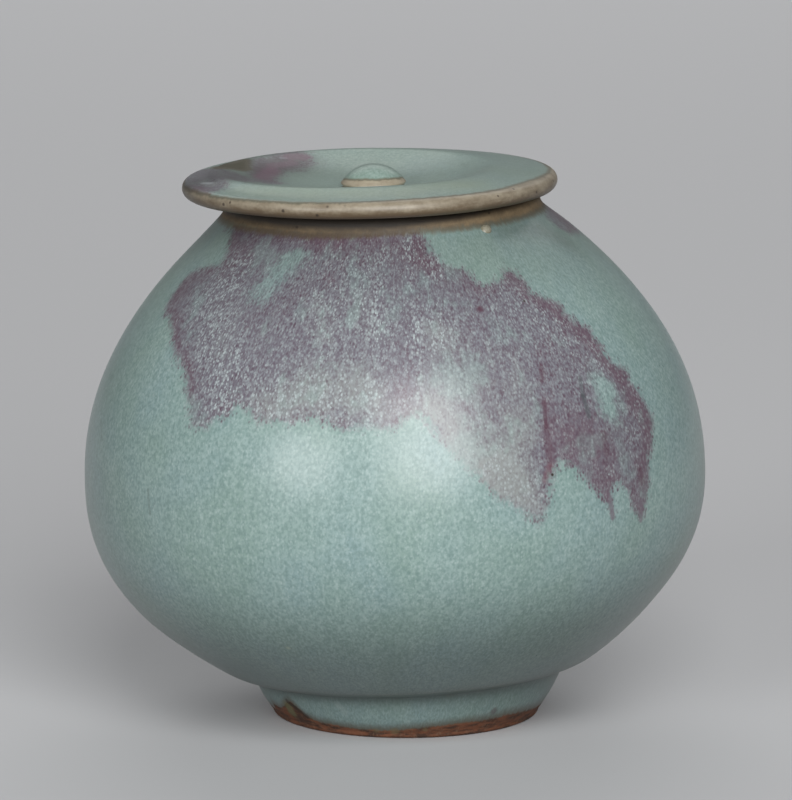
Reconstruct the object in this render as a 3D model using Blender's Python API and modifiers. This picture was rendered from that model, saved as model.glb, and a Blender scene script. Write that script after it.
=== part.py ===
"""A small round stoneware jar with a dished lid, glazed all over but for the foot it stands on.

The jar is thrown, and leans a little on its foot. Its foot ring is luted on and ground level. The lid is
a dish with a rolled edge, a button knob in the dish, and a locating ring underneath that hangs in the
mouth. The lid lies loose on the mouth and lifts off. Metres, +Z up, the jar standing on Z = 0.
"""

import math

import bpy
from mathutils import Matrix, Vector

MM = 0.001

# The jar, from the outside in
belly_diameter = 105.0 * MM
belly_height = 41.0 * MM
shoulder_reach = 63.7 * MM
shoulder_fullness = 2.05
under_reach = 47.2 * MM
under_fullness = 2.3
rim_height = 88.85 * MM
wall_thickness = 4.0 * MM
floor_thickness = 5.0 * MM
mouth_diameter = 46.0 * MM
lip_thickness = 3.3 * MM
lip_round = 1.75 * MM
collar_fillet = 1.2 * MM
underside_round = 0.5 * MM

# How the pot moved in the kiln: it leans toward -X, and its underside drifted toward +X
jar_lean = math.radians(2.6)
foot_drift = 0.9 * MM
drift_height = 12.0 * MM
level_height = 8.0 * MM

# The foot ring
foot_height = 8.8 * MM
foot_top_diameter = 53.4 * MM
foot_rest_diameter = 43.6 * MM
foot_bore_diameter = 36.0 * MM
foot_bore_taper = 1.2 * MM
foot_edge = 0.8 * MM
foot_roll = 0.5 * MM

# The lid, whose heights are measured up from its seat on the mouth
lid_overhang = 5.3 * MM
lid_edge_thickness = 3.0 * MM
rim_slope_width = 8.4 * MM
crest_height = 4.2 * MM
crest_round = 1.0 * MM
crest_drift = 2.5 * MM
dish_floor_height = 0.8 * MM
dish_fullness = 2.6
dish_thickness = 3.4 * MM
bulge_round = 2.4 * MM
lid_tilt = math.radians(1.4)

# The locating ring under the lid, smaller than the mouth by its play, and pushed over to one side of it
ring_play = 3.0 * MM
ring_near_gap = 0.97 * MM
ring_thickness = 3.0 * MM
ring_depth = 5.0 * MM
ring_edge = 0.8 * MM
ring_clearance = 0.4 * MM

# The knob, whose foot is luted into a shallow seat in the dish
knob_diameter = 11.0 * MM
knob_height = 4.85 * MM
knob_ridge_height = 1.65 * MM
knob_ridge_round = 0.4 * MM
knob_foot_diameter = 9.4 * MM
knob_seat_depth = 0.6 * MM
knob_drift = 0.6 * MM
knob_drift_reach = 9.0 * MM

# Joints between pieces, and how finely the round forms are cut
slip_joint = 0.3 * MM
weld_distance = 0.02 * MM
turning_steps = 60
knob_steps = 36
outside_rows = 27
inside_rows = 17
arc_rows = 6
ramp_rows = 10
slope_rows = 3

belly_radius = belly_diameter / 2
mouth_radius = mouth_diameter / 2
lip_height = rim_height - belly_height - lip_round
underside_height = foot_height - belly_height
lid_radius = mouth_radius + lip_thickness + lid_overhang
crest_radius = lid_radius - rim_slope_width
ring_radius = mouth_radius - ring_play
lid_shift = ring_play - ring_near_gap
knob_radius = knob_diameter / 2
knob_foot_radius = knob_foot_diameter / 2
knob_seat_radius = knob_foot_radius + slip_joint


def ease(share):
    """Zero before 0, one past 1, and a smooth step between them."""
    share = min(max(share, 0.0), 1.0)
    return share * share * (3 - 2 * share)


def belly_radius_at(height):
    """The outside of the belly, height being measured from its widest ring."""
    reach, fullness = (shoulder_reach, shoulder_fullness) if height > 0 else (under_reach, under_fullness)
    return belly_radius * (1 - (abs(height) / reach) ** fullness)


def belly_slope_at(height):
    """How fast the outside widens with height."""
    reach, fullness = (shoulder_reach, shoulder_fullness) if height > 0 else (under_reach, under_fullness)
    slope = belly_radius * fullness / reach * (abs(height) / reach) ** (fullness - 1)
    return -slope if height > 0 else slope


def outside_radius_at(height):
    """The belly, with the upright collar of the mouth rising out of it through a soft fillet."""
    belly, collar = belly_radius_at(height), mouth_radius + lip_thickness
    return (belly + collar + math.hypot(belly - collar, collar_fillet)) / 2


def arc(centre, half_width, half_height, start, end, rows=arc_rows):
    """Points of an ellipse from one angle to another, in degrees, 0 being outward and 90 up."""
    points = []
    for row in range(rows + 1):
        angle = math.radians(start + (end - start) * row / rows)
        points.append((centre[0] + half_width * math.cos(angle), centre[1] + half_height * math.sin(angle)))
    return points


def jar_outline():
    """From the middle of the floor up the inside, over the lip, down the outside and in to the axis."""
    lowest = underside_height + underside_round
    floor = underside_height + floor_thickness
    inside = []
    for row in range(inside_rows + 1):
        height = lowest + (lip_height - lowest) * row / inside_rows
        slope = belly_slope_at(height)
        offset = wall_thickness / math.hypot(1, slope)
        radius = max(belly_radius_at(height) - offset, mouth_radius)
        inside.append((radius, max(height + offset * slope, floor)))
    outside = []
    for row in range(1, outside_rows + 1):
        share = (1 - math.cos(math.pi * row / outside_rows)) / 2
        height = lip_height + (lowest - lip_height) * share
        outside.append((outside_radius_at(height), height))
    lip_outside = outside_radius_at(lip_height)
    lip_middle = (lip_outside + mouth_radius) / 2
    lip = arc((lip_middle, lip_height), lip_outside - lip_middle, lip_round, 180, 0)
    turn_in = (outside[-1][0] - underside_round, underside_height)
    return [(0, floor)] + inside + lip + outside + [turn_in, (0, underside_height)]


def foot_outline():
    """A closed loop: out along the top, down the rolled wall, in across the resting face, up the bore."""
    top = underside_height - slip_joint
    bottom = -belly_height
    top_radius = foot_top_diameter / 2
    rest_radius = foot_rest_diameter / 2
    bore_radius = foot_bore_diameter / 2
    wall_top, wall_bottom = top - foot_edge, bottom + foot_edge
    wall = []
    for row in range(arc_rows + 1):
        share = row / arc_rows
        radius = top_radius + (rest_radius + foot_edge - top_radius) * share
        height = wall_top + (wall_bottom - wall_top) * share
        wall.append((radius + foot_roll * math.sin(math.pi * share), height))
    edge = arc((rest_radius, wall_bottom), foot_edge, foot_edge, 0, -90, arc_rows // 2)[1:]
    inner_edge = arc((bore_radius + foot_edge, wall_bottom), foot_edge, foot_edge, -90, -180, arc_rows // 2)
    return [(bore_radius - foot_bore_taper, top), (top_radius - foot_edge, top)] + wall + edge + inner_edge


def dish_top_at(radius):
    """The hollow of the lid, a bowl that steepens toward its crest."""
    rise = crest_height - dish_floor_height
    return dish_floor_height + rise * (radius / crest_radius) ** dish_fullness


def lid_outline():
    """From the knob's seat out over the dish and its crest, round the rolled edge, and in underneath."""
    seat_height = dish_floor_height - knob_seat_depth
    dish = []
    for row in range(ramp_rows):
        radius = knob_seat_radius + (crest_radius - crest_round - knob_seat_radius) * row / (ramp_rows - 1)
        dish.append((radius, dish_top_at(radius) - (crest_round / 2) * ease(row / (ramp_rows - 1)) ** 4))
    edge_round = lid_edge_thickness / 2
    edge_middle = (lid_radius - edge_round, edge_round)
    crest = [(crest_radius, crest_height)]
    for row in range(slope_rows):
        share = row / slope_rows
        radius = crest_radius + crest_round + (edge_middle[0] - crest_radius - crest_round) * share
        crest.append((radius, crest_height - crest_round / 8 - (crest_height - lid_edge_thickness) * share))
    edge = arc(edge_middle, edge_round, edge_round, 85, -90, arc_rows + arc_rows // 2)
    bulge_radius = ring_radius - ring_thickness - ring_clearance
    bulge_height = dish_floor_height - dish_thickness
    bulge = arc((bulge_radius - bulge_round, 0), bulge_round, -bulge_height, 0, -90)
    seat = [(0, seat_height), (knob_seat_radius, seat_height)]
    return seat + dish + crest + edge + bulge + [(0, bulge_height)]


def ring_outline():
    """A closed loop, like the foot's: a plain collar with a rounded lower edge."""
    bore = ring_radius - ring_thickness
    top = -slip_joint
    middle = (bore + ring_edge, -ring_depth + ring_edge)
    inner_edge = arc(middle, ring_edge, ring_edge, -90, -180, arc_rows // 2)
    outer_edge = arc((ring_radius - ring_edge, middle[1]), ring_edge, ring_edge, 0, -90, arc_rows // 2)
    return [(bore, top), (ring_radius, top)] + outer_edge + inner_edge


def knob_outline():
    """A low dome, a ridge round its widest part, and a waist that goes down into the seat."""
    bottom = dish_floor_height - knob_seat_depth + slip_joint
    ridge_radius = knob_radius - knob_ridge_round
    ridge_middle = (ridge_radius, knob_ridge_height)
    dome = arc((0, knob_ridge_height), ridge_radius, knob_height - knob_ridge_height, 90, 12)
    ridge = arc(ridge_middle, knob_ridge_round, knob_ridge_round, 50, -90, arc_rows // 2)
    waist = [(knob_foot_radius, knob_ridge_height - 2 * knob_ridge_round), (knob_foot_radius, bottom)]
    return dome + ridge + waist + [(0, bottom)]


def clear_scene():
    for obj in list(bpy.data.objects):
        bpy.data.objects.remove(obj, do_unlink=True)


def glaze(name, colour, roughness):
    material = bpy.data.materials.new(name)
    material.use_nodes = True
    shader = material.node_tree.nodes["Principled BSDF"]
    shader.inputs["Base Color"].default_value = (*colour, 1)
    shader.inputs["Roughness"].default_value = roughness
    shader.inputs["Metallic"].default_value = 0
    material.diffuse_color = (*colour, 1)
    return material


def turned(name, outline, closed, steps, material, collection):
    """The outline in the XZ plane, turned once round Z."""
    mesh = bpy.data.meshes.new(name)
    edges = [(point, point + 1) for point in range(len(outline) - 1)]
    if closed:
        edges.append((len(outline) - 1, 0))
    mesh.from_pydata([(radius, 0, height) for radius, height in outline], edges, [])
    mesh.materials.append(material)
    obj = bpy.data.objects.new(name, mesh)
    collection.objects.link(obj)
    turning = obj.modifiers.new("Turning", "SCREW")
    turning.axis = "Z"
    turning.steps = turning.render_steps = steps
    turning.use_merge_vertices = True
    turning.merge_threshold = weld_distance
    return obj


def settled(obj, move=None):
    """Applies the turning, and lets each point of the clay move by what the rule gives for it."""
    graph = bpy.context.evaluated_depsgraph_get()
    mesh = bpy.data.meshes.new_from_object(obj.evaluated_get(graph))
    obj.modifiers.clear()
    outline, obj.data = obj.data, mesh
    bpy.data.meshes.remove(outline)
    mesh.name = obj.name
    if move:
        for vertex in mesh.vertices:
            vertex.co += move(vertex.co)


def jar_settling(point):
    """The underside drifts sideways, and the mouth is pressed level with the lid's seat."""
    below = ease((underside_height + drift_height - point.z) / drift_height)
    above = ease((point.z - (rim_height - belly_height - level_height)) / level_height)
    return Vector((foot_drift * below, 0, -point.x * math.tan(jar_lean - lid_tilt) * above))


def foot_settling(point):
    """The lower end is ground level on a flat stone, and the top keeps the lean of the jar."""
    below = 1 - ease((point.z + belly_height) / foot_height)
    return Vector((foot_drift * (1 - below), 0, -point.x * math.tan(jar_lean) * below))


def dish_settling(point):
    """The knob was pressed in off centre, and the crest was drawn toward -X as the dish was hollowed."""
    away = math.hypot(point.x, point.y)
    knob_share = 1 - ease((away - knob_seat_radius) / knob_drift_reach)
    slope_share = (away - crest_radius) / (rim_slope_width - lid_edge_thickness)
    crest_share = ease(away / crest_radius) * (1 - ease(slope_share)) * ease(point.z / dish_floor_height)
    return Vector((knob_drift * knob_share - crest_drift * crest_share, 0, 0))


def leaning_axis(name, place, angle, collection):
    """An empty whose Z axis is the axis that its pieces were turned on."""
    empty = bpy.data.objects.new(name, None)
    empty.location = place
    empty.rotation_euler = (0, -angle, 0)
    collection.objects.link(empty)
    return empty


def smooth(obj):
    obj.data.shade_smooth()
    obj.data.set_sharp_from_angle(angle=math.radians(50))


def build():
    clear_scene()
    collection = bpy.data.collections.new("lidded_jar")
    bpy.context.scene.collection.children.link(collection)
    green = glaze("blue_green_glaze", (0.27, 0.37, 0.34), 0.3)
    clay = glaze("foot_glaze_and_clay", (0.23, 0.3, 0.27), 0.4)
    cream = glaze("thin_glaze_on_clay", (0.36, 0.3, 0.21), 0.4)

    body = turned("jar_body", jar_outline(), False, turning_steps, green, collection)
    foot = turned("foot_ring", foot_outline(), True, turning_steps, clay, collection)
    dish = turned("lid_dish", lid_outline(), False, turning_steps, green, collection)
    ring = turned("lid_locating_ring", ring_outline(), True, turning_steps, cream, collection)
    knob = turned("lid_knob", knob_outline(), False, knob_steps, green, collection)

    jar_centre = Vector((0, 0, belly_height * math.cos(jar_lean)))
    jar_axis = leaning_axis("jar_axis", jar_centre, jar_lean, collection)
    lip_centre = jar_centre + Matrix.Rotation(-jar_lean, 3, "Y") @ Vector((0, 0, rim_height - belly_height))
    seat_centre = lip_centre + Vector((-lid_shift, 0, slip_joint - lid_shift * math.tan(lid_tilt)))
    lid_axis = leaning_axis("lid_axis", seat_centre, lid_tilt, collection)

    settled(body, jar_settling)
    settled(foot, foot_settling)
    settled(dish, dish_settling)
    settled(ring)
    settled(knob)
    knob.location.x = knob_drift
    for piece in (body, foot):
        piece.parent = jar_axis
    for piece in (dish, ring, knob):
        piece.parent = lid_axis
    for piece in (body, foot, dish, ring, knob):
        smooth(piece)


build()
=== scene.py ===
"""The looks of a small stoneware jar and its loose lid, in a blue-green glaze splashed with purple."""
import math

import bpy
import numpy as np
from mathutils import Matrix, Vector
from mathutils.bvhtree import BVHTree


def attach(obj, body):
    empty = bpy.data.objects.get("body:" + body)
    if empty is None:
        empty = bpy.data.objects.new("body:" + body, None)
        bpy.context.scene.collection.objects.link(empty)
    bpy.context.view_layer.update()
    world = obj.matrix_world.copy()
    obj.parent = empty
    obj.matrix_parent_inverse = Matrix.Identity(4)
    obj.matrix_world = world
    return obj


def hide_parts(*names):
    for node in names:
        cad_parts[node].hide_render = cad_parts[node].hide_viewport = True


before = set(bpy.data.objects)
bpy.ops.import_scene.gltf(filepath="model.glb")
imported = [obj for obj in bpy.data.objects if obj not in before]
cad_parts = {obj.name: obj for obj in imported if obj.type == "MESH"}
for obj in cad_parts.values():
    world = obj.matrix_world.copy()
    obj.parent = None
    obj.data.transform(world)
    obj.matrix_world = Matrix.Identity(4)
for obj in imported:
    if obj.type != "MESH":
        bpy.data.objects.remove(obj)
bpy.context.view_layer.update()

MM = 0.001


def placed(name, data):
    """A new object in the scene."""
    made = bpy.data.objects.new(name, data)
    bpy.context.scene.collection.objects.link(made)
    return made


# The camera of the photograph: a long lens a little over a metre away, looking down by about ten degrees.
# The marks in the glaze are placed by pixels of its 792 x 800 picture.
picture_width, picture_height = 792, 800
camera_elevation = math.radians(10.3)
camera_distance = 1.2
camera_aim = Vector((0.17 * MM, 0, 53.45 * MM))
focal_pixels = 7107
film_height_mm = 36
camera_away = Vector((0, -math.cos(camera_elevation), math.sin(camera_elevation))) * camera_distance
camera = placed("photograph_camera", bpy.data.cameras.new("photograph_camera"))
camera.location = camera_aim + camera_away
camera.rotation_euler = (math.pi / 2 - camera_elevation, 0, 0)
camera.data.sensor_fit = "VERTICAL"
camera.data.sensor_height = film_height_mm
camera.data.lens = focal_pixels * film_height_mm / picture_height
camera.data.clip_start, camera.data.clip_end = 0.1, 50
bpy.context.scene.camera = camera
camera_turn = camera.rotation_euler.to_matrix()


class Nodes:
    """Adds nodes to one tree. The methods take plain values or other nodes' outputs, and give an output."""

    def __init__(self, tree):
        self.tree = tree

    def feed(self, socket, value):
        """Links a socket to another node's output, or sets it to a plain value; None leaves it as it is."""
        if isinstance(value, bpy.types.NodeSocket):
            self.tree.links.new(value, socket)
        elif value is not None:
            socket.default_value = (*value, 1) if socket.type == "RGBA" else value

    def add(self, kind, *values, out=0, **settings):
        """A node with its settings, its open inputs fed in order; gives the output asked for."""
        made = self.tree.nodes.new(kind)
        for name, setting in settings.items():
            setattr(made, name, setting)
        for socket, value in zip([socket for socket in made.inputs if socket.enabled], values):
            self.feed(socket, value)
        return [socket for socket in made.outputs if socket.enabled][out]

    def group(self, tree, **values):
        """Another tree as one node, its inputs fed by their names; gives all its outputs."""
        made = self.tree.nodes.new(tree.bl_idname.replace("Tree", "Group"))
        made.node_tree = tree
        for name, value in values.items():
            self.feed(made.inputs[name], value)
        return made.outputs

    def give(self, **values):
        """Sends values out of a node group, by its outputs' names."""
        ends = self.tree.nodes.new("NodeGroupOutput").inputs
        for name, value in values.items():
            self.feed(ends[name], value)

    def reckon(self, operation, *values):
        return self.add("ShaderNodeMath", *values, operation=operation)

    def vector(self, operation, *values):
        return self.add("ShaderNodeVectorMath", *values, operation=operation)

    def times(self, first, *others):
        for other in others:
            first = self.reckon("MULTIPLY", first, other)
        return first

    def plus(self, first, *others):
        for other in others:
            first = self.reckon("ADD", first, other)
        return first

    def less(self, first, second):
        return self.reckon("SUBTRACT", first, second)

    def part(self, place, axis):
        return self.add("ShaderNodeSeparateXYZ", place, out="XYZ".index(axis))

    def joined(self, x, y, z):
        return self.add("ShaderNodeCombineXYZ", x, y, z)

    def ramp(self, value, low, high, top=1.0):
        """A smooth step from 0 at low to the top at high."""
        return self.add("ShaderNodeMapRange", value, low, high, 0.0, top, interpolation_type="SMOOTHSTEP")

    def blend(self, share, under, over, kind="RGBA"):
        return self.add("ShaderNodeMix", share, under, over, data_type=kind)

    def noise(self, place, *values):
        """Noise by its scale, its detail and its roughness."""
        return self.add("ShaderNodeTexNoise", place, *values, noise_dimensions="3D")

    def attribute(self, name, output="Fac"):
        made = self.add("ShaderNodeAttribute").node
        made.attribute_name = name
        return made.outputs[output]

    def millimetres(self):
        return self.vector("SCALE", self.add("ShaderNodeTexCoord").node.outputs["Object"], 1 / MM)

    def shown_or_lit(self):
        """1 where a background is seen, straight, mirrored or through glass, and 0 where it sheds light."""
        path = self.add("ShaderNodeLightPath").node.outputs
        mirrored = self.reckon("MAXIMUM", path["Is Camera Ray"], path["Is Glossy Ray"])
        return self.reckon("MAXIMUM", mirrored, path["Is Transmission Ray"])


def node_material(name):
    """A new material, with its nodes."""
    made = bpy.data.materials.new(name)
    made.use_nodes = True
    return made, Nodes(made.node_tree)


# The floor is plain pale paper. Two soft boxes in front of the jar, one each side of the camera, light it, and
# two weaker ones behind it open up its back.
paper, nodes = node_material("pale_paper")
nodes.tree.nodes.remove(nodes.tree.nodes["Principled BSDF"])
seen_paper = nodes.add("ShaderNodeAddShader", nodes.add("ShaderNodeBsdfDiffuse", (0.52, 0.524, 0.532)),
                       nodes.add("ShaderNodeEmission", (0.035, 0.035, 0.036)))
lit_paper = nodes.add("ShaderNodeBsdfDiffuse", (0.145, 0.145, 0.149))
both_papers = nodes.add("ShaderNodeMixShader", nodes.shown_or_lit(), lit_paper, seen_paper)
nodes.feed(nodes.tree.nodes["Material Output"].inputs["Surface"], both_papers)
floor_reach = 6
floor_mesh = bpy.data.meshes.new("paper_floor")
floor_corners = [(x * floor_reach, y * floor_reach, 0) for x, y in ((-1, -1), (1, -1), (1, 1), (-1, 1))]
floor_mesh.from_pydata(floor_corners, [], [(0, 1, 2, 3)])
floor_mesh.materials.append(paper)
floor = placed("paper_floor", floor_mesh)

world = bpy.data.worlds.new("studio")
world.use_nodes = True
bpy.context.scene.world = world
nodes = Nodes(world.node_tree)
world_level = nodes.blend(nodes.shown_or_lit(), (0.055, 0.055, 0.058), (0.18, 0.182, 0.186))
nodes.feed(nodes.tree.nodes["Background"].inputs["Color"], world_level)

lamp_distance = 2.2
for name, azimuth, elevation, width, height, watts, glossy in (
        ("left_softbox", -35, 16, 0.85, 0.9, 16.6, True),
        ("right_softbox", 12, 27, 1.2, 1.9, 53, True),
        ("back_softbox", 178, 46, 2.4, 1.2, 8, True),
        ("back_fill", 180, 32, 1.6, 1.0, 13, False)):
    box = bpy.data.lights.new(name, "AREA")
    box.shape, box.size, box.size_y, box.energy = "RECTANGLE", width, height, watts
    lamp = placed(name, box)
    around, above = math.radians(azimuth), math.radians(elevation)
    away = Vector((math.sin(around) * math.cos(above), -math.cos(around) * math.cos(above), math.sin(above)))
    lamp.location = camera_aim + away * lamp_distance
    lamp.rotation_euler = away.to_track_quat("Z", "Y").to_euler()
    lamp.visible_glossy = glossy
bpy.context.scene.view_settings.view_transform = "Standard"


# The jar is thrown in buff stoneware clay, with a luted foot ring, and dipped in glaze that runs over both.
# Its outline is worked out on the axis it was thrown on, from its widest ring, and is then leant as it stands.
belly_radius = 52.48 * MM
belly_height = 41.0 * MM
shoulder_reach, shoulder_fullness = 62.7 * MM, 2.16
under_reach, under_fullness = 47.2 * MM, 2.3
rim_height = 88.85 * MM
wall_thickness = 4.0 * MM
floor_thickness = 5.0 * MM
mouth_radius = 23.0 * MM
lip_thickness = 3.3 * MM
lip_round = 1.75 * MM
collar_fillet = 1.2 * MM
jar_lean = math.radians(2.6)
foot_drift = 0.9 * MM
drift_height = 12.0 * MM
level_height = 8.0 * MM
foot_height = 8.8 * MM
foot_top_radius = 26.7 * MM
foot_rest_radius = 21.8 * MM
foot_bore_radius = 18.0 * MM
foot_bore_taper = 1.2 * MM
foot_edge = 0.8 * MM
foot_roll = 0.5 * MM
fold_round = 0.35 * MM
lid_tilt = math.radians(1.4)
lip_height = rim_height - belly_height - lip_round
underside = foot_height - belly_height
turn_steps = 320
outline_rows, fold_rows, foot_wall_rows, edge_rows = 900, 90, 60, 6
same_point = 0.02 * MM


def run_along(line):
    """How far each point of a line lies along it."""
    return np.concatenate([[0], np.cumsum(np.hypot(*np.diff(line, axis=0).T))])


def spaced(points, spacing):
    """The same line with its points an even distance apart."""
    points = np.array(points, float)
    run = run_along(points)
    stops = np.linspace(0, run[-1], max(2, round(run[-1] / spacing) + 1))
    return np.column_stack([np.interp(stops, run, points[:, 0]), np.interp(stops, run, points[:, 1])])


def joined(*lines):
    """One line through several, without the points that two of them share."""
    points = [tuple(lines[0][0])]
    for line in lines:
        for point in line:
            if math.hypot(point[0] - points[-1][0], point[1] - points[-1][1]) > same_point:
                points.append(tuple(point))
    return np.array(points)


def softened(line, passes):
    """The line with its corners worn round; its ends stay."""
    for _ in range(passes):
        line[1:-1] = (line[:-2] + 2 * line[1:-1] + line[2:]) / 4
    return line


def arc(middle, half_width, half_height, start, end, rows=edge_rows):
    """Points on an ellipse from one angle in degrees to another."""
    turn = np.radians(np.linspace(start, end, rows + 1))
    return np.column_stack([middle[0] + half_width * np.cos(turn), middle[1] + half_height * np.sin(turn)])


heights = np.linspace(lip_height, underside, outline_rows)
above = heights > 0
reach = np.where(above, shoulder_reach, under_reach)
fullness = np.where(above, shoulder_fullness, under_fullness)
share = np.abs(heights) / reach
belly = belly_radius * (1 - share ** fullness)
slope = belly_radius * fullness / reach * share ** (fullness - 1)
slope = np.where(above, -slope, slope)
collar = mouth_radius + lip_thickness
outside = np.column_stack([(belly + collar + np.hypot(belly - collar, collar_fillet)) / 2, heights])
offset = wall_thickness / np.hypot(1, slope)
jar_floor = underside + floor_thickness
inside = np.column_stack([np.maximum(belly - offset, mouth_radius),
                          np.maximum(heights + offset * slope, jar_floor)])
lip_outside = outside[0, 0]
lip_middle = (lip_outside + mouth_radius) / 2
lip = arc((lip_middle, lip_height), lip_outside - lip_middle, lip_round, 180, 0, 16)
wall_share = np.linspace(0, 1, foot_wall_rows)
wall_top, wall_bottom = underside - fold_round, -belly_height + foot_edge
foot_taper = foot_rest_radius + foot_edge - foot_top_radius
foot_wall = np.column_stack([
    foot_top_radius + foot_taper * wall_share + foot_roll * np.sin(math.pi * wall_share),
    wall_top + (wall_bottom - wall_top) * wall_share])
fold_out = (outside[-1, 0] - fold_round, underside)
foot_outer_edge = arc((foot_rest_radius, wall_bottom), foot_edge, foot_edge, 0, -90)
foot_inner_edge = arc((foot_bore_radius + foot_edge, wall_bottom), foot_edge, foot_edge, -90, -180)
recess_edge = (foot_bore_radius - foot_bore_taper, underside - foot_edge)
recess_corner = arc((recess_edge[0] - foot_edge, recess_edge[1]), foot_edge, foot_edge, 0, 90)
fold_line = softened(spaced(joined(outside[-fold_rows:], [fold_out], foot_wall), 0.4 * MM), 24)
jar_outline = joined(
    spaced([(0, jar_floor), inside[-1]], 2.5 * MM), spaced(inside[::-1], 1.6 * MM), lip,
    spaced(outside[:-fold_rows], 0.72 * MM), fold_line, foot_outer_edge,
    spaced([foot_outer_edge[-1], foot_inner_edge[0]], 0.8 * MM), foot_inner_edge,
    spaced([foot_inner_edge[-1], recess_edge], 0.9 * MM), recess_corner,
    spaced([recess_corner[-1], (0, underside)], 1.5 * MM))


def open_group(name, kind, inputs, outputs):
    """A node group with named inputs and outputs; gives its nodes and what comes in."""
    tree = bpy.data.node_groups.new(name, kind)
    for way, sockets in (("INPUT", inputs), ("OUTPUT", outputs)):
        for label, socket in sockets.items():
            tree.interface.new_socket(label, in_out=way, socket_type="NodeSocket" + socket)
    return Nodes(tree), tree.nodes.new("NodeGroupInput").outputs


def wheel_group():
    """Geometry nodes that turn a profile once round Z, as the wheel does, and close it at the axis."""
    nodes, given = open_group("turn_on_the_wheel", "GeometryNodeTree",
                              {"Profile": "Geometry", "Steps": "Int"}, {"Clay": "Geometry"})

    def integer(operation, *values):
        return nodes.add("FunctionNodeIntegerMath", *values, operation=operation)

    def sampled(kind, value, row):
        return nodes.add("GeometryNodeSampleIndex", given["Profile"], value, row, data_type=kind)

    rows = nodes.add("GeometryNodeAttributeDomainSize", given["Profile"], component="MESH")
    clay = nodes.add("GeometryNodeMeshGrid", 1.0, 1.0, integer("ADD", given["Steps"], 1), rows)
    index = nodes.add("GeometryNodeInputIndex")
    row = integer("MODULO", index, rows)
    column = integer("DIVIDE_FLOOR", index, rows)
    turn = nodes.times(nodes.reckon("DIVIDE", column, given["Steps"]), 2 * math.pi)
    point = sampled("FLOAT_VECTOR", nodes.add("GeometryNodeInputPosition"), row)
    turned = nodes.add("ShaderNodeVectorRotate", point, None, turn, rotation_type="Z_AXIS")
    along = sampled("FLOAT", nodes.add("GeometryNodeInputNamedAttribute", "along", data_type="FLOAT"), row)
    clay = nodes.add("GeometryNodeStoreNamedAttribute", clay, None, "along", along,
                     data_type="FLOAT", domain="POINT")
    clay = nodes.add("GeometryNodeSetPosition", clay, None, turned)
    clay = nodes.add("GeometryNodeMergeByDistance", clay, None, 0.002 * MM)
    nodes.give(Clay=nodes.add("GeometryNodeFlipFaces", clay))
    return nodes.tree


wheel = wheel_group()


def begin_shaping(name, sizes):
    """A geometry tree with named sizes; gives its nodes, the sizes and the clay as it comes off the wheel."""
    nodes, given = open_group(name, "GeometryNodeTree",
                              {"Geometry": "Geometry", "Steps": "Int", **dict.fromkeys(sizes, "Float")},
                              {"Geometry": "Geometry"})
    return nodes, given, nodes.group(wheel, Profile=given["Geometry"], Steps=given["Steps"])["Clay"]


def end_shaping(nodes, clay, offset, uneven, lowest, lean, rise, material):
    """The offset, a potter's unevenness, always inward, the lean, and the plain mesh with its material."""
    clay = nodes.add("GeometryNodeSetPosition", clay, None, None, offset)
    place = nodes.add("GeometryNodeInputPosition")
    depth = nodes.times(nodes.noise(place, 60.0, 1.0), uneven, nodes.ramp(nodes.part(place, "Z"), *lowest))
    inward = nodes.vector("SCALE", nodes.add("GeometryNodeInputNormal"), nodes.times(depth, -1.0))
    clay = nodes.add("GeometryNodeSetPosition", clay, None, None, inward)
    turn = nodes.joined(0.0, nodes.times(lean, -1.0), 0.0)
    clay = nodes.add("GeometryNodeTransform", clay, rise, turn)
    clay = nodes.add("GeometryNodeSetShadeSmooth", clay)
    clay = nodes.add("GeometryNodeRealizeInstances", clay)
    nodes.give(Geometry=nodes.add("GeometryNodeSetMaterial", clay, None, material))


def fired(name, outline, start, tree, values):
    """The outline shaped by the tree with these named inputs, as an object with a plain mesh. Each point of it
    carries how far it lies along the clay from the start."""
    profile = bpy.data.meshes.new(name)
    profile.from_pydata([(radius, 0, height) for radius, height in outline],
                        [(point, point + 1) for point in range(len(outline) - 1)], [])
    run = run_along(outline)
    along = profile.attributes.new("along", "FLOAT", "POINT")
    along.data.foreach_set("value", ((run - run[start]) / MM).astype(np.float32))
    obj = placed(name, profile)
    sockets = {item.name: item.identifier for item in tree.interface.items_tree
               if item.item_type == "SOCKET" and item.in_out == "INPUT"}
    shaping = obj.modifiers.new("Shaping", "NODES")
    shaping.node_group = tree
    for size, value in values.items():
        shaping[sockets[size]] = value
    graph = bpy.context.evaluated_depsgraph_get()
    obj.data = bpy.data.meshes.new_from_object(obj.evaluated_get(graph))
    obj.modifiers.remove(shaping)
    bpy.data.meshes.remove(profile)
    obj.data.name = name
    return obj


jar_glaze, jar_nodes = node_material("jar_glaze_and_clay")
nodes, sizes, thrown = begin_shaping("settled_jar", ("Unevenness", "Lean", "Foot drift", "Seat lean"))
spot = nodes.add("GeometryNodeInputPosition")
spot_z = nodes.part(spot, "Z")
over_drift = nodes.ramp(spot_z, underside, underside + drift_height)
in_foot = nodes.ramp(spot_z, -belly_height, underside)
at_mouth = nodes.ramp(spot_z, rim_height - belly_height - level_height, rim_height - belly_height)
drift = nodes.times(nodes.less(in_foot, over_drift), sizes["Foot drift"])
mouth_press = nodes.times(at_mouth, nodes.reckon("TANGENT", sizes["Seat lean"]))
foot_press = nodes.times(nodes.less(1.0, in_foot), nodes.reckon("TANGENT", sizes["Lean"]))
press = nodes.times(nodes.plus(mouth_press, foot_press), nodes.times(nodes.part(spot, "X"), -1.0))
end_shaping(nodes, thrown, nodes.joined(drift, 0.0, press), sizes["Unevenness"],
            (-belly_height + foot_edge, underside), sizes["Lean"],
            (0, 0, belly_height * math.cos(jar_lean)), jar_glaze)
lip_crown = int(np.argmax(jar_outline[:, 1]))
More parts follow.
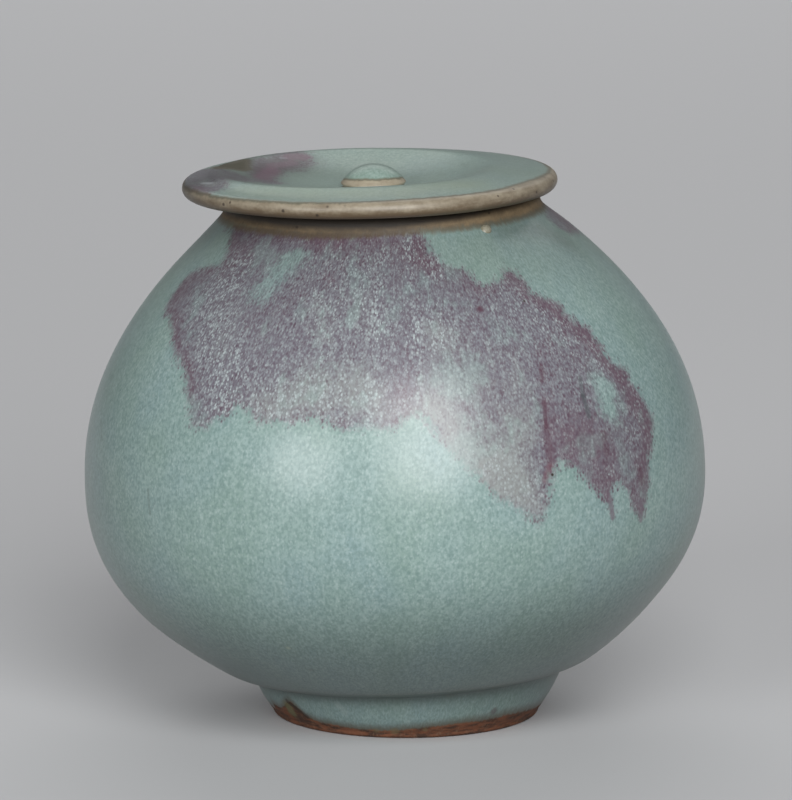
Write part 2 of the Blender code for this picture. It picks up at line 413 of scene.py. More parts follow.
jar = fired("glazed_jar", jar_outline, lip_crown, nodes.tree,
            {"Steps": turn_steps, "Unevenness": 0.1 * MM, "Lean": jar_lean, "Foot drift": foot_drift,
             "Seat lean": jar_lean - lid_tilt})


class Surface:
    """A piece's clay, to find places on, by pixels of the picture or by the turn and the distance along it."""

    def __init__(self, obj, axis):
        self.mesh = obj.data
        self.points = np.array([v.co for v in self.mesh.vertices], np.float32)
        self.faces = [tuple(p.vertices) for p in self.mesh.polygons]
        self.tree = BVHTree.FromPolygons([v.co for v in self.mesh.vertices], self.faces)
        self.along = np.zeros(len(self.points), np.float32)
        self.mesh.attributes["along"].data.foreach_get("value", self.along)
        self.axis = axis
        self.turn = self.turn_of(self.points)

    def keep(self, name, values, least=-8, most=8):
        """Stores a value for each point of the mesh, within limits, for the material to read."""
        layer = self.mesh.attributes.new(name, "FLOAT", "POINT")
        layer.data.foreach_set("value", np.clip(values, least, most).astype(np.float32))

    def turn_of(self, points):
        """Degrees round the piece from the front, positive to the right in the picture."""
        return np.degrees(np.arctan2(points[..., 0] - self.axis[0], -(points[..., 1] - self.axis[1])))

    def turned_from(self, turns, middle):
        """Degrees from a middle turn, the short way round."""
        return (turns - middle + 180) % 360 - 180

    def seen(self, pixels):
        """The places on the clay that the picture shows at these pixels, with their turn and distance along."""
        places, alongs = [], []
        for u, v in pixels:
            ray = camera_turn @ Vector(((u - picture_width / 2) / focal_pixels,
                                        (picture_height / 2 - v) / focal_pixels, -1))
            hit, normal, face, distance = self.tree.ray_cast(camera.location, ray.normalized())
            if hit is None:
                hit, normal, face, distance = self.tree.find_nearest(camera.location + ray * camera_distance)
            corners = list(self.faces[face])
            near = 1 / (np.linalg.norm(self.points[corners] - np.array(hit), axis=1) + 1e-7)
            places.append(np.array(hit))
            alongs.append(float(np.sum(self.along[corners] * near) / near.sum()))
        return np.array(places), self.turn_of(np.array(places)), np.array(alongs)

    def found(self, marks):
        """The places at these (turn, along) pairs, for the sides that the picture doesn't show."""
        mm_in_a_degree = 0.8
        turns, alongs = np.array(marks, float).T
        away = self.turned_from(self.turn, turns[:, None]) * mm_in_a_degree
        return self.points[np.argmin(away ** 2 + (self.along - alongs[:, None]) ** 2, axis=1)], turns, alongs

    def distance(self, line, closed):
        """Millimetres from each point of the clay to a line of places."""
        ends = np.vstack([line, line[:1]]) if closed or len(line) == 1 else line
        nearest = np.full(len(self.points), np.inf)
        for start, end in zip(ends[:-1], ends[1:]):
            step = end - start
            share = np.clip((self.points - start) @ step / max(step @ step, 1e-12), 0, 1)
            away = np.linalg.norm(self.points - start - share[:, None] * step, axis=1)
            nearest = np.minimum(nearest, away)
        return nearest / MM

    def patch(self, located, limits):
        """Millimetres inside, or below zero outside, a closed outline, within limits of the distance along."""
        places, turns, alongs = located
        middle = np.angle(np.exp(1j * np.radians(turns)).mean(), deg=True)
        across, corner_across = self.turned_from(self.turn, middle), self.turned_from(turns, middle)
        inside = np.zeros(len(self.points), bool)
        for low, high, left, right in zip(alongs, np.roll(alongs, 1), corner_across, np.roll(corner_across, 1)):
            crosses = (low > self.along) != (high > self.along)
            reach = (right - left) * (self.along - low) / (high - low or 1e-9) + left
            inside ^= crosses & (across < reach)
        inside &= (self.along > limits[0]) & (self.along < limits[1])
        return np.where(inside, 1, -1) * self.distance(places, True)

    def brushed(self, strokes, place=None):
        """Soft strokes laid on the clay, each a width in millimetres, a strength and a line of places."""
        laid = np.zeros(len(self.points))
        for width, strength, *marks in strokes:
            line = (place or self.seen)(marks)[0]
            laid += strength * np.exp(-(self.distance(line, False) / width) ** 2)
        return laid

    def line_round(self, pixels, back):
        """How far along the clay a line lies that is seen in front, and is at this place at the back."""
        places, turns, alongs = self.seen(pixels)
        order = np.argsort(turns)
        return np.interp(self.turn, [-180, *turns[order], 180], [back, *alongs[order], back])


jar_clay = Surface(jar, (0, 0))

# The purple splash was brushed on in copper over the glaze, and it ran in the firing. The front one and the end
# of another by the mouth are outlined in pixels. The two behind, which the picture doesn't show, are outlined in
# degrees round the jar and millimetres down from the lip.
splash_edge = [
    (222, 224), (230, 236), (223, 262), (207, 266), (192, 271), (181, 283), (171, 295), (162, 316),
    (168, 321), (171, 332), (170, 345), (173, 356), (180, 366), (185, 375), (184, 388), (187, 401),
    (188, 415), (189, 427), (202, 432), (209, 427), (216, 422), (229, 416), (236, 408), (242, 408),
    (246, 414), (249, 420), (265, 424), (277, 424), (287, 428), (294, 423), (301, 421), (314, 420),
    (327, 424), (335, 430), (343, 433), (355, 431), (367, 430), (388, 432), (396, 428), (402, 423),
    (412, 419), (419, 415), (424, 419), (430, 430), (438, 441), (444, 449), (451, 454), (458, 462),
    (468, 470), (479, 479), (485, 487), (497, 499), (504, 503), (513, 508), (521, 514), (529, 519),
    (541, 525), (546, 515), (549, 504), (551, 488), (553, 473), (559, 465), (564, 464), (573, 470),
    (582, 480), (592, 490), (603, 501), (608, 510), (612, 519), (615, 510), (613, 497), (614, 486),
    (620, 486), (626, 492), (629, 501), (633, 510), (638, 517), (644, 519), (648, 500), (650, 480),
    (650, 457), (654, 443), (654, 421), (650, 408), (645, 400), (640, 388), (631, 381), (628, 372),
    (622, 367), (612, 360), (605, 351), (602, 343), (596, 339), (592, 330), (584, 325), (574, 318),
    (565, 313), (563, 304), (558, 301), (545, 297), (532, 292), (526, 281), (516, 271), (508, 268),
    (501, 270), (500, 277), (494, 279), (487, 283), (480, 282), (472, 274), (464, 267), (454, 266),
    (443, 263), (437, 255), (431, 251), (428, 240), (422, 230), (420, 222), (380, 224), (330, 225),
    (280, 226)]
right_mouth_splash = [
    (541, 200), (551, 204), (558, 209), (569, 219), (582, 234), (570, 235), (557, 228), (546, 216)]
back_right_splash = [
    (93, 8), (97, 12), (101, 18), (103, 26), (103, 32), (105, 39), (108, 46), (111, 51), (114, 45),
    (117, 38), (122, 34), (129, 33), (135, 37), (139, 44), (142, 53), (144, 60), (147, 63), (149, 56),
    (151, 46), (157, 40), (164, 37), (169, 31), (171, 24), (167, 18), (160, 14), (150, 11), (140, 7),
    (120, 6), (98, 6)]
back_left_splash = [
    (214, 12), (207, 17), (204, 25), (206, 33), (212, 38), (217, 45), (221, 53), (224, 47), (228, 39),
    (236, 36), (243, 38), (247, 43), (250, 37), (252, 28), (249, 20), (243, 14), (232, 10), (222, 9)]
outside_only = (-2, 110)
splashes = (jar_clay.seen(splash_edge), jar_clay.seen(right_mouth_splash),
            jar_clay.found(back_right_splash), jar_clay.found(back_left_splash))
splash = np.max([jar_clay.patch(outline, outside_only) for outline in splashes], axis=0)
jar_clay.keep("splash", splash, -12, 12)

# Where the splash is thick it turned milky, where its copper stayed in drops it is frosted or deep red violet,
# and in a few places it is so thin that the green shows. Each is brushed on from the picture, guessed behind.
milk = [
    (4.6, 0.66, (262, 408), (300, 400), (345, 396), (388, 404)), (2.6, 0.45, (318, 300), (325, 335)),
    (3.0, 0.35, (360, 300), (372, 330)), (1.6, 0.3, (262, 335), (276, 312)),
    (3.0, 0.45, (436, 330), (436, 331)), (4.0, 0.75, (432, 410), (460, 448), (500, 488)),
    (6.0, 0.45, (450, 350), (480, 390), (515, 440)), (3.6, 0.3, (515, 360), (525, 430)),
    (3.4, 0.7, (505, 470), (536, 506)), (5, 0.3, (228, 300), (220, 350)), (4, 0.3, (310, 370), (360, 372)),
    (4, 0.1, (545, 330), (575, 400))]
violet = [
    (3.2, 0.74, (233, 238), (250, 246), (262, 236)), (2.0, 0.6, (275, 237), (300, 237), (335, 241)),
    (3, 0.82, (322, 240), (360, 243), (415, 244), (424, 256)), (1.2, 0.74, (326, 277), (332, 280)),
    (2.6, 0.6, (176, 292), (174, 330), (183, 366), (189, 398)),
    (2.7, 0.52, (242, 262), (225, 275), (190, 285)), (2.4, 0.35, (262, 262), (240, 288)),
    (2, 0.45, (255, 316), (262, 313), (300, 298)), (1.8, 0.49, (240, 405), (238, 398)),
    (2, 0.41, (196, 420), (200, 428)), (2.7, 0.57, (404, 395), (410, 424)),
    (2.4, 0.29, (404, 350), (406, 395)), (3.2, 0.49, (425, 262), (450, 275), (478, 292)),
    (2.4, 0.82, (505, 274), (523, 288)), (2.2, 0.74, (538, 297), (556, 309)),
    (2.2, 0.45, (556, 309), (600, 348)), (2, 0.66, (585, 332), (597, 344)),
    (2, 0.82, (606, 356), (620, 370)), (1.9, 0.66, (618, 380), (629, 398)),
    (2.2, 0.82, (634, 403), (646, 421)), (2.2, 0.57, (648, 425), (650, 478)),
    (1.4, 0.41, (541, 350), (543, 378)), (1.2, 0.74, (545, 400), (549, 440), (550, 474)),
    (4.6, 0.61, (572, 440), (596, 458), (604, 492)), (3, 0.57, (636, 470), (643, 508)),
    (1.5, 0.37, (545, 515), (549, 488)), (2.2, 1.3, (546, 205), (555, 213), (576, 233)),
    (4.1, 0.29, (300, 262), (345, 262), (400, 262)), (3.4, 0.33, (560, 380), (566, 440)),
    (5.4, 0.42, (600, 430), (640, 440)), (4.0, 0.35, (560, 342), (598, 368)),
    (4.0, 0.3, (585, 435), (605, 455)), (7.0, 0.2, (450, 335), (490, 400)),
    (5.0, 0.2, (570, 330), (600, 370))]
frost = [
    (4.2, 0.95, (225, 280), (212, 300), (213, 340), (225, 375), (222, 405)),
    (2.5, 0.8, (243, 262), (232, 280)), (5.0, 0.7, (270, 400), (330, 398), (390, 405)),
    (3.2, 0.45, (318, 300), (325, 335)), (3.4, 0.8, (355, 290), (378, 330)),
    (3.6, 0.5, (330, 262), (400, 262)), (2.6, 0.9, (408, 248), (436, 270)),
    (3.2, 0.9, (436, 328), (438, 338)), (4.0, 0.5, (505, 292), (560, 330), (600, 372)),
    (4.0, 0.35, (395, 300), (410, 350)), (3.4, 0.5, (500, 470), (530, 500)),
    (2.5, 0.3, (640, 440), (630, 400))]
fade = [
    (2.9, 1.05, (299, 254), (290, 264), (276, 278), (261, 293)), (2.2, 0.3, (290, 250), (272, 264)),
    (1.8, -1.0, (286, 239), (318, 241)), (2.5, 1.1, (600, 386), (606, 408)),
    (2.2, 0.6, (613, 392), (616, 412)), (2.4, 0.35, (320, 300), (326, 330)),
    (1.2, 0.3, (222, 405), (240, 392)), (3.0, 0.25, (295, 375), (335, 365))]
milk_behind = [
    (5.0, 0.55, (108, 26), (128, 24), (150, 27)), (3.0, 0.5, (139, 30), (146, 54)),
    (2.5, 0.5, (104, 34), (109, 44)), (4.5, 0.55, (214, 26), (230, 24), (244, 27)),
    (2.2, 0.5, (218, 36), (221, 47))]
violet_behind = [
    (2.4, 0.7, (98, 12), (103, 24), (104, 34)), (1.8, 0.7, (108, 48), (112, 48)),
    (2.2, 0.55, (117, 36), (131, 33)), (1.8, 0.7, (151, 46), (147, 60)), (2.4, 0.6, (164, 36), (170, 26)),
    (2.6, 0.6, (100, 9), (125, 9), (145, 11)), (2.2, 0.7, (206, 20), (207, 32), (216, 43)),
    (2.0, 0.55, (249, 22), (250, 34)), (2.2, 0.5, (224, 12), (240, 15))]
frost_behind = [
    (4.5, 0.7, (105, 15), (120, 17), (135, 19), (158, 22)), (2.6, 0.6, (141, 34), (146, 56)),
    (2.4, 0.6, (106, 30), (110, 44)), (4.0, 0.6, (211, 22), (232, 18), (247, 26)),
    (2.2, 0.6, (216, 36), (221, 48))]
fade_behind = [(2.6, 0.7, (122, 20), (132, 28)), (2.2, 0.8, (234, 29), (241, 33))]
for name, strokes, behind, least, most in (
        ("milk", milk, milk_behind, 0, 1.2), ("violet", violet, violet_behind, 0, 1.4),
        ("frost", frost, frost_behind, 0.12, 1), ("fade", fade, fade_behind, 0, 2)):
    laid = jar_clay.brushed(strokes) + jar_clay.brushed(behind, jar_clay.found)
    jar_clay.keep(name, laid + least, 0, most)
warm_reach = 24
warmth = 0.1 + 0.2 * np.exp(-(jar_clay.along / warm_reach) ** 2)
jar_clay.keep("warmth", warmth * (1 - 0.8 * np.clip(splash / 2, 0, 1)))

# The glaze ran thin at the lip and shows the clay through it, and it stops short of the foot's ground edge.
# Painted shade stands for the lid's shadow over the gap and the shoulder below it, and for the belly's shadow
# over its underside and the foot; darker glaze gathered in the fold, with painted shade there too.
mouth_line = [
    (232, 226), (255, 231), (280, 234), (315, 236), (350, 237), (385, 235), (420, 232.5), (455, 230.5),
    (490, 225.5), (520, 219), (540, 212.5)]
foot_line = [
    (269.8, 704.5), (275.7, 708), (281.6, 707.4), (286.6, 700.8), (290.5, 700.8), (297.4, 707.4),
    (307.3, 716.3), (319.2, 721.3), (339, 725.2), (358.7, 728.2), (368.6, 728.8), (388, 729.4), (408, 728.2),
    (427.9, 726.2), (447.6, 724.2), (467, 721.3), (487, 718.3), (507, 714.3), (526.7, 709.8), (534.6, 707.4)]
along = jar_clay.along
thin = jar_clay.line_round(mouth_line, 6) - along - 0.2
thin = np.where(along < -4, along + 9, thin)
jar_clay.keep("thin", thin)
to_the_right = np.clip(np.sin(np.radians(jar_clay.turn)), 0, 1)
brim = 0.22 * np.exp(-((thin - 1.0) / 0.7) ** 2)
jar_clay.keep("paleness", 0.2 + brim - 0.1 * np.clip(thin - 2, 0, 2) + 0.28 * to_the_right)
ground_edge = along[np.argmin(jar_clay.points[:, 2])]
jar_clay.keep("bare", along - jar_clay.line_round(foot_line, ground_edge - 2.6))
outline_run = run_along(jar_outline) / MM
in_fold = np.argmin(np.hypot(jar_outline[:, 0] - foot_top_radius, jar_outline[:, 1] - wall_top))
below_fold = along - (outline_run[in_fold] - outline_run[lip_crown])
# Painted shade: darker over the underside of the belly, and a little over the foot.
under = np.interp(below_fold, [-34, -20, -6, 2], [0, 0.27, 0.3, 0.18])
# Painted shade in the gap between the lid and the lip, narrower to the right.
gap_end = 3.6 - 2.0 * to_the_right
painted_gap_shade = np.clip((gap_end - along) / 1.2, 0, 1) * np.clip((along + 6) / 3, 0, 1)
# The lid's painted shadow on the shoulder, with a stroke of it further down at the right.
shadow_middle, shadow_reach = 7, 12
painted_lid_shadow = 0.26 * np.exp(-((along - shadow_middle) / shadow_reach) ** 2)
painted_lid_shadow += jar_clay.brushed([(2.8, 0.2, (500, 230), (540, 230), (566, 242))])
jar_clay.keep("shade", painted_lid_shadow + under + 0.7 * painted_gap_shade, 0, 0.9)
# Darker glaze pooled in the fold, with painted shade in it.
fold_glaze_and_shade = np.interp(below_fold, [-8, -5.6, -4.2, 0, 1.0, 2.4, 4.4], [0, 0.3, 0.8, 1, 0.85, 0.35, 0])
jar_clay.keep("fold", fold_glaze_and_shade)
turn = np.radians(jar_clay.turn)
run_radius = 50
run = np.column_stack([run_radius * np.cos(turn), run_radius * np.sin(turn), along])
run_layer = jar.data.attributes.new("run", "FLOAT_VECTOR", "POINT")
run_layer.data.foreach_set("vector", run.astype(np.float32).ravel())
coat_layers = ("Splash", "Milk", "Violet", "Frost", "Fade", "Warmth", "Thin", "Shade")


def glaze_group():
    """The glaze: blue-green, its fine grain drawn down by the run, and the purple splash that lies in it."""
    layers = dict.fromkeys((*coat_layers, "Band"), "Float")
    nodes, given = open_group("splashed_glaze", "ShaderNodeTree", {"Run": "Vector", **layers, "Clay": "Color"},
                              {"Colour": "Color", "Roughness": "Float", "Height": "Float"})
    times, plus, less, ramp, blend = nodes.times, nodes.plus, nodes.less, nodes.ramp, nodes.blend

    def drawn_out(size, stretch, shift):
        """A place in the glaze, one unit being this many millimetres across, and more of them down the run."""
        moved = nodes.vector("ADD", given["Run"], (shift, shift, shift))
        return nodes.vector("MULTIPLY", moved, (1 / size, 1 / size, 1 / (size * stretch)))

    def grain(size, stretch, detail, shift):
        """Noise whose lumps are about this many millimetres across, drawn out down the run."""
        return nodes.noise(drawn_out(size, stretch, shift), 1.0, detail, 0.55)

    def flecks_of(size, stretch, shift, share, reach=0.75):
        """Small drops, each in a cell of its own about this many millimetres wide, the share of them empty."""
        cells = drawn_out(size, stretch, shift)
        away = nodes.add("ShaderNodeTexVoronoi", cells, 1.0, voronoi_dimensions="3D", feature="F1")
        draw = nodes.add("ShaderNodeSeparateColor", away.node.outputs["Color"])
        return times(ramp(draw, share, 1.0), ramp(away, reach, 0.27 * reach))

    fine, middling = grain(0.55, 1.25, 2.0, 0), grain(1.5, 1.3, 2.0, 31)
    cloud, wide_cloud = grain(6, 1.3, 2.0, 57), grain(15, 1.1, 1.0, 83)
    curdled = grain(0.42, 1.5, 1.0, 151)
    fine_sway, middling_sway, cloud_sway = less(fine, 0.5), less(middling, 0.5), less(cloud, 0.5)
    pale_flecks = plus(flecks_of(0.36, 1.4, 43, 0.3), times(flecks_of(0.62, 1.3, 71, 0.5), 0.6))
    dark_flecks = plus(flecks_of(0.4, 1.5, 11, 0.3), times(flecks_of(0.7, 1.4, 97, 0.5), 0.6))

    # The blue-green ground: broad clouds first, then finer grain, flecks and the warmth by the mouth.
    green = blend(ramp(wide_cloud, 0.32, 0.68), (0.242, 0.348, 0.318), (0.255, 0.364, 0.372))
    green = blend(times(ramp(cloud, 0.4, 0.75), 0.6), green, (0.305, 0.42, 0.402))
    green = blend(times(ramp(middling, 0.35, 0.75), 0.4), green, (0.34, 0.45, 0.438))
    green = blend(times(ramp(fine, 0.62, 0.36), 0.5), green, (0.13, 0.215, 0.205))
    green = blend(times(pale_flecks, 0.42), green, (0.42, 0.53, 0.52))
    green = blend(times(dark_flecks, 0.42), green, (0.14, 0.225, 0.22))
    green = blend(times(given["Warmth"], plus(0.45, times(cloud, 0.5))), green, (0.25, 0.31, 0.215))

    # The splash: where it lies, with ragged edges, then red violet, milk, curds, dark drops and frost in it.
    ragged = plus(times(middling_sway, 2.4), times(fine_sway, 2.2), less(dark_flecks, 0.4))
    faded = ramp(plus(given["Fade"], times(middling_sway, 1.4), times(fine_sway, 1.4)), 0.15, 1.5)
    laid = times(ramp(plus(given["Splash"], ragged), -0.9, 1.1), less(1.0, times(faded, 0.9)))
    rind = less(1.0, ramp(plus(given["Splash"], times(cloud_sway, 5.0), times(middling_sway, 3.0)), 0.0, 4.0))
    half_milk = less(1.0, times(given["Milk"], 0.5))
    clumps = times(plus(times(middling_sway, 1.5), times(less(dark_flecks, 0.3), 0.7)), half_milk)
    depth = plus(times(rind, less(1.0, times(given["Milk"], 0.8)), 0.5), times(given["Violet"], 0.8), clumps)
    purple = blend(ramp(depth, 0.0, 1.0), (0.17, 0.162, 0.19), (0.144, 0.098, 0.125))
    milk = plus(given["Milk"], times(cloud_sway, 0.8), times(middling_sway, 0.8), times(given["Violet"], -0.5))
    purple = blend(times(ramp(milk, 0.0, 1.1), 0.85), purple, (0.278, 0.3, 0.29))
    even = less(1.0, times(ramp(milk, 0.2, 1.1), 0.65))
    pale_curds = times(ramp(curdled, 0.48, 0.68), less(0.42, times(given["Violet"], 0.26)), even)
    purple = blend(pale_curds, purple, (0.3, 0.35, 0.362))
    purple = blend(times(ramp(curdled, 0.52, 0.34), 0.38, even), purple, (0.102, 0.074, 0.1))
    purple = blend(times(dark_flecks, half_milk, 0.62), purple, (0.092, 0.06, 0.084))
    frost = plus(0.28, times(given["Frost"], 0.72), times(middling_sway, 1.2), times(given["Violet"], -0.15))
    purple = blend(times(pale_flecks, frost), purple, (0.41, 0.468, 0.476))
    purple = blend(times(ramp(plus(cloud, times(middling, 0.4)), 0.72, 0.95), 0.35), purple, green)
    colour = blend(laid, green, purple)

    # Where it ran thin: olive first, then the buff clay itself with a few iron specks, and the painted shade
    # over all.
    worn = plus(given["Thin"], plus(times(middling_sway, 1.2), times(fine_sway, 0.6)))
    olive = ramp(worn, -1.1, 0.1)
    colour = blend(times(olive, 0.8), colour, (0.13, 0.098, 0.055))
    pale = ramp(plus(times(given["Band"], 0.8), times(fine, 0.2)), 0.18, 0.85)
    buff = blend(pale, (0.125, 0.088, 0.051), given["Clay"])
    buff = blend(times(flecks_of(1.5, 1.0, 131, 0.82, 0.24), 0.9), buff, (0.045, 0.03, 0.018))
    colour = blend(ramp(worn, 0.0, 0.9), colour, buff)
    nodes.give(Colour=blend(given["Shade"], colour, (0.012, 0.01, 0.008)),
               Roughness=plus(0.255, times(fine, 0.08), times(olive, 0.1)),
               Height=plus(times(middling, 0.5), times(cloud, 0.8), times(fine, 0.12)))
    return nodes.tree


def mark_group():
    """A small mark in the glaze: 1 within a width of the line from start to end, and 0 outside."""
    nodes, given = open_group("small_mark", "ShaderNodeTree",
                              {**dict.fromkeys(("Place", "Start", "End"), "Vector"), "Width": "Float"},
                              {"Mask": "Float"})
    vector = nodes.vector
    line = vector("SUBTRACT", given["End"], given["Start"])
    offset = vector("SUBTRACT", given["Place"], given["Start"])
    length_squared = nodes.plus(vector("DOT_PRODUCT", line, line), 1e-6)
    share = nodes.reckon("DIVIDE", vector("DOT_PRODUCT", offset, line), length_squared)
    share = nodes.add("ShaderNodeClamp", share, 0.0, 1.0)
    away = vector("LENGTH", vector("SUBTRACT", offset, vector("SCALE", line, share)))
    away = nodes.times(away, nodes.plus(nodes.noise(given["Place"], 1.6, 2.0, 0.6), 0.5))
    nodes.give(Mask=nodes.ramp(nodes.reckon("DIVIDE", away, given["Width"]), 1.0, 0.35))
    return nodes.tree


glaze, small_mark = glaze_group(), mark_group()


def glazed(nodes, run, band_grain, clay_seen):
    """The glaze in a piece's material, fed from the piece's own attributes; gives the glaze's outputs."""
    band = nodes.noise(nodes.vector("MULTIPLY", run, band_grain), 1.0, 3.0, 0.6)
    band = nodes.plus(nodes.times(nodes.less(band, 0.5), 0.8), nodes.attribute("paleness"))
    layers = {name: nodes.attribute(name.lower()) for name in coat_layers}
    return nodes.group(glaze, Run=run, Clay=clay_seen, Band=band, **layers)


def marked(nodes, colour, clay, marks):
    """Lays small marks over a colour, each a width, a strength, a colour and the pixels that it joins."""
    place = nodes.millimetres()
    for width, strength, tint, *pixels in marks:
        ends = clay.seen(pixels)[0] / MM
        mark = nodes.group(small_mark, Place=place, Start=tuple(ends[0]), End=tuple(ends[-1]), Width=width)
        colour = nodes.blend(nodes.times(mark["Mask"], strength), colour, tint)
    return colour


def finish_coat(nodes, colour, rough, height):
    """Sends the colour, the roughness and the fine relief of glaze and clay to the material's shader."""
    shader = nodes.tree.nodes["Principled BSDF"].inputs
    relief_strength, relief_depth = 0.35, 0.1 * MM
    bump = nodes.add("ShaderNodeBump", relief_strength, relief_depth)
    nodes.feed(bump.node.inputs["Height"], height)
    for name, value in (("Base Color", colour), ("Roughness", rough), ("Normal", bump),
                        ("Specular IOR Level", 0.5), ("Metallic", 0.0)):
        nodes.feed(shader[name], value)


# Small faults of the firing: iron specks and pinholes, grey and deeper red where drips ran, and at the foot dark
# spots and a notch where the glaze lifted off the clay. Two dark spots in the fold above the foot are painted
# shade. Each is placed from the picture.
iron = (0.03, 0.018, 0.01)
maroon = (0.09, 0.035, 0.055)
ochre = (0.16, 0.125, 0.065)
# Dark green glaze, also used as painted shade for two spots in the fold.
dark_glaze_and_fold_shade = (0.1, 0.13, 0.11)
slate = (0.07, 0.085, 0.09)
jar_marks = [
    (0.4, 0.9, iron, (297, 227)), (0.35, 0.8, iron, (489, 213)), (0.35, 0.8, iron, (524, 301)),
    (0.35, 0.9, iron, (552.3, 474.6)), (0.7, 0.4, dark_glaze_and_fold_shade, (311, 670)), (0.85, 0.8, maroon, (480, 309)),
    (0.6, 0.45, maroon, (541, 366), (542, 380)), (0.5, 0.6, maroon, (544, 402), (546, 427)),
    (0.9, 0.3, maroon, (546, 427), (550, 462)), (0.8, 0.4, (0.17, 0.07, 0.09), (550, 466), (544.5, 480)),
    (0.65, 0.45, slate, (580, 378), (583, 396)), (0.7, 0.55, slate, (583, 396), (589, 416)),
    (0.9, 0.35, maroon, (604, 434), (606, 452)), (1.0, 0.5, maroon, (640, 470), (642, 482)),
    (0.75, 0.6, (0.15, 0.11, 0.14), (609, 496), (613, 517)),
    (0.9, 0.5, (0.15, 0.11, 0.14), (641, 505), (641, 519)), (0.45, 0.3, dark_glaze_and_fold_shade, (148, 490), (150, 514)),
    (0.4, 0.3, dark_glaze_and_fold_shade, (101, 420), (102, 440)), (0.6, 0.3, (0.45, 0.48, 0.36), (288, 648)),
    # The dark marks at (379, 697) and (451, 695) are painted shade in the fold.
    (0.9, 0.25, (0.3, 0.36, 0.35), (337, 704), (345, 712)), (1.3, 0.5, dark_glaze_and_fold_shade, (379, 697)),
    (1.2, 0.45, dark_glaze_and_fold_shade, (451, 695)), (1.0, 0.6, (0.09, 0.06, 0.065), (494, 711)),
    (1.5, 0.9, (0.145, 0.135, 0.07), (288, 706), (292, 712)), (0.6, 0.9, iron, (287, 701), (296, 708)),
    (0.7, 0.85, iron, (296, 708), (307, 716.5)), (1.1, 0.6, ochre, (395, 731)),
    (0.8, 0.5, ochre, (376, 730.5)), (0.7, 0.5, ochre, (425, 729.5))]
bare_roughness = 0.75
nodes, along_run = jar_nodes, jar_nodes.attribute("run", "Vector")
coat = glazed(nodes, along_run, (0.22, 0.22, 0.9), (0.36, 0.26, 0.145))
clay_grain = nodes.noise(along_run, 0.9, 4.0, 0.65)
clay_streaks = nodes.noise(nodes.vector("MULTIPLY", along_run, (0.16, 0.16, 1.1)), 1.0, 3.0, 0.6)
clay = nodes.blend(nodes.ramp(clay_streaks, 0.36, 0.62), (0.05, 0.023, 0.013), (0.172, 0.064, 0.031))
clay = nodes.blend(nodes.ramp(clay_grain, 0.5, 0.72, 0.55), clay, (0.2, 0.12, 0.074))
bare_edge = nodes.plus(nodes.attribute("bare"), nodes.times(nodes.less(clay_grain, 0.5), 1.2))
colour = nodes.blend(nodes.ramp(bare_edge, -1.9, 0.2, 0.8), coat["Colour"], (0.085, 0.07, 0.045))
bare_share = nodes.ramp(bare_edge, -0.1, 0.5)
colour = nodes.blend(bare_share, colour, clay)
# The fold's dark colour: pooled glaze and painted shade.
colour = nodes.blend(nodes.times(nodes.attribute("fold"), 0.56), colour, (0.065, 0.085, 0.075))
lip_dry = nodes.ramp(nodes.attribute("thin"), -0.4, 1.2, 0.28)
rough = nodes.blend(bare_share, nodes.plus(coat["Roughness"], lip_dry), bare_roughness, "FLOAT")
height = nodes.blend(bare_share, coat["Height"], nodes.times(clay_grain, 2.0), "FLOAT")
finish_coat(nodes, marked(nodes, colour, jar_clay, jar_marks), rough, height)
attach(jar, "jar")
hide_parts("jar_body", "foot_ring")


# A bead of glaze dripped on the right shoulder in the firing and set there, fused to the glaze below. It is a
# low uneven dome, cream with a darker brim, and paler than what lies round it.
bead_pixel = (486.5, 229)
bead_radius, bead_rise, bead_sink = 1.15 * MM, 0.4 * MM, 0.25 * MM
bead_rows, bead_columns = 12, 28
bead_brim = 0.8
bead_seen = Vector(jar_clay.seen([bead_pixel])[0][0])
bead_place, bead_out, bead_face, bead_away = jar_clay.tree.find_nearest(bead_seen)
bead_points, bead_faces = [], []
across = bead_out.orthogonal().normalized()
for row in range(1, bead_rows + 1):
    share = row / bead_rows
    for column in range(bead_columns):
        turn_at = 2 * math.pi * column / bead_columns
        reach = bead_radius * share * (1 + 0.08 * math.sin(2 * turn_at + 1) + 0.05 * math.sin(3 * turn_at))
        rise = bead_rise * (1 - share ** 2) ** 1.4 - bead_sink * max(0, share - bead_brim) / (1 - bead_brim)
        place_at = bead_place + bead_out * rise + Matrix.Rotation(turn_at, 3, bead_out) @ across * reach
        bead_points.append(place_at)
top, base = len(bead_points), len(bead_points) + 1
bead_points += [bead_place + bead_out * bead_rise, bead_place - bead_out * bead_sink]
for column in range(bead_columns):
    spoke = list(range(column, top, bead_columns))
    after = list(range((column + 1) % bead_columns, top, bead_columns))
    bead_faces += [(top, spoke[0], after[0]), (base, after[-1], spoke[-1])]
    bead_faces += zip(spoke, spoke[1:], after[1:], after)
bead_mesh = bpy.data.meshes.new("glaze_bead")
bead_mesh.from_pydata(bead_points, [], bead_faces)
bead_mesh.shade_smooth()
bead = placed("glaze_bead", bead_mesh)
bead_glaze, nodes = node_material("pale_bead_glaze")
place = nodes.millimetres()
bead_cloud = nodes.noise(place, 1.2, 3.0, 0.6)
cream = nodes.blend(bead_cloud, (0.17, 0.16, 0.115), (0.34, 0.325, 0.26))
away = nodes.vector("LENGTH", nodes.vector("SUBTRACT", place, tuple(bead_place / MM)))
shader = nodes.tree.nodes["Principled BSDF"].inputs
nodes.feed(shader["Base Color"], nodes.blend(nodes.ramp(away, 0.6, 1.0, 0.8), cream, (0.16, 0.15, 0.1)))
nodes.feed(shader["Roughness"], nodes.plus(nodes.times(bead_cloud, 0.15), 0.2))
bead_mesh.materials.append(bead_glaze)
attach(bead, "jar")


